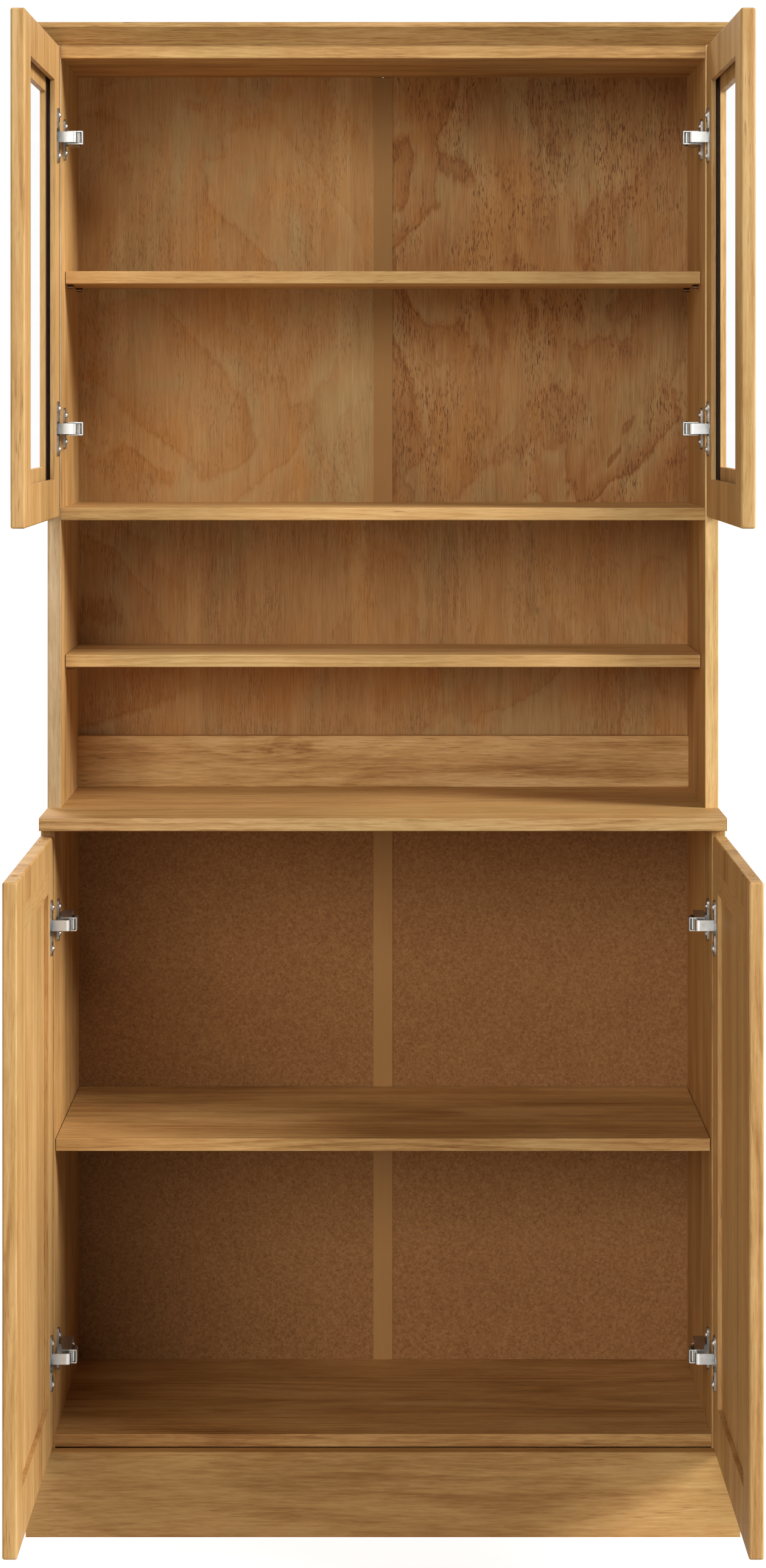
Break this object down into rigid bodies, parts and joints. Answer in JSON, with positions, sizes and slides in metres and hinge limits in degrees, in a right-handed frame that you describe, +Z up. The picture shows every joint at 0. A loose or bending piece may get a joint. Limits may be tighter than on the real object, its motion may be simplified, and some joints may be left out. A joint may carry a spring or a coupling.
{
  "type": "kitchen buffet",
  "caption": "Free-standing pine kitchen buffet: a cupboard base with a countertop and a hutch above it, with an open bay, glazed doors on top and panelled doors below.",
  "frame": {"origin": "on the floor, at mid width and at mid thickness of the plinth's front board", "axes": "+X to the viewer's right, +Y from the front towards the back, +Z up"},
  "size_m": [0.84, 0.7317, 1.773],
  "materials": {
    "honey_pine": "satin lacquer",
    "veneered_back": "satin lacquer",
    "hardboard": "matt",
    "beech": "matt",
    "joining_strip": "satin",
    "clear_glass": "polished",
    "nickel": "bright nickel plate",
    "zinc_steel": "zinc plate"
  },
  "bodies": {
    "carcass": {"base_back_left": "hardboard", "base_back_right": "hardboard", "base_back_strip": "joining_strip", "base_bottom_panel": "honey_pine", "base_shelf": "honey_pine", "base_side_left": "honey_pine", "base_side_right": "honey_pine", "countertop": "honey_pine", "crown_front": "honey_pine", "crown_left": "honey_pine", "crown_right": "honey_pine", "dowels": "beech", "hinge_arms": "nickel", "hinge_links": "nickel", "hinge_mounting_plates": "nickel", "hinge_pins_and_rivets": "zinc_steel", "hinge_screws": "zinc_steel", "hutch_back_left": "veneered_back", "hutch_back_rail": "honey_pine", "hutch_back_right": "veneered_back", "hutch_back_strip": "joining_strip", "hutch_lower_back": "veneered_back", "hutch_mid_shelf": "honey_pine", "hutch_open_shelf": "honey_pine", "hutch_side_left": "honey_pine", "hutch_side_right": "honey_pine", "hutch_top_panel": "honey_pine", "hutch_upper_shelf": "honey_pine", "plinth_front": "honey_pine", "plinth_left": "honey_pine", "plinth_right": "honey_pine", "shelf_pegs": "zinc_steel"},
    "upper_left_door": {"upper_left_bottom_rail": "honey_pine", "upper_left_cup_screws": "zinc_steel", "upper_left_free_stile": "honey_pine", "upper_left_glass": "clear_glass", "upper_left_hinge_cups": "nickel", "upper_left_hinge_stile": "honey_pine", "upper_left_top_rail": "honey_pine"},
    "upper_right_door": {"upper_right_bottom_rail": "honey_pine", "upper_right_cup_screws": "zinc_steel", "upper_right_free_stile": "honey_pine", "upper_right_glass": "clear_glass", "upper_right_hinge_cups": "nickel", "upper_right_hinge_stile": "honey_pine", "upper_right_top_rail": "honey_pine"},
    "lower_left_door": {"lower_left_bottom_rail": "honey_pine", "lower_left_cup_screws": "zinc_steel", "lower_left_free_stile": "honey_pine", "lower_left_hinge_cups": "nickel", "lower_left_hinge_stile": "honey_pine", "lower_left_panel": "honey_pine", "lower_left_top_rail": "honey_pine"},
    "lower_right_door": {"lower_right_bottom_rail": "honey_pine", "lower_right_cup_screws": "zinc_steel", "lower_right_free_stile": "honey_pine", "lower_right_hinge_cups": "nickel", "lower_right_hinge_stile": "honey_pine", "lower_right_panel": "honey_pine", "lower_right_top_rail": "honey_pine"}
  },
  "joints": [
    {"name": "upper_left_door_swing", "type": "hinge", "parent": "carcass", "child": "upper_left_door", "pos_m": [-0.39275, 0.08075, 1.46515], "axis": [0, 0, 1], "range_deg": [-10, 90]},
    {"name": "upper_right_door_swing", "type": "hinge", "parent": "carcass", "child": "upper_right_door", "pos_m": [0.39275, 0.08075, 1.46515], "axis": [0, 0, -1], "range_deg": [-10, 90]},
    {"name": "lower_left_door_swing", "type": "hinge", "parent": "carcass", "child": "lower_left_door", "pos_m": [-0.39275, -0.00125, 0.45775], "axis": [0, 0, 1], "range_deg": [-10, 90]},
    {"name": "lower_right_door_swing", "type": "hinge", "parent": "carcass", "child": "lower_right_door", "pos_m": [0.39275, -0.00125, 0.45775], "axis": [0, 0, -1], "range_deg": [-10, 90]}
  ]
}
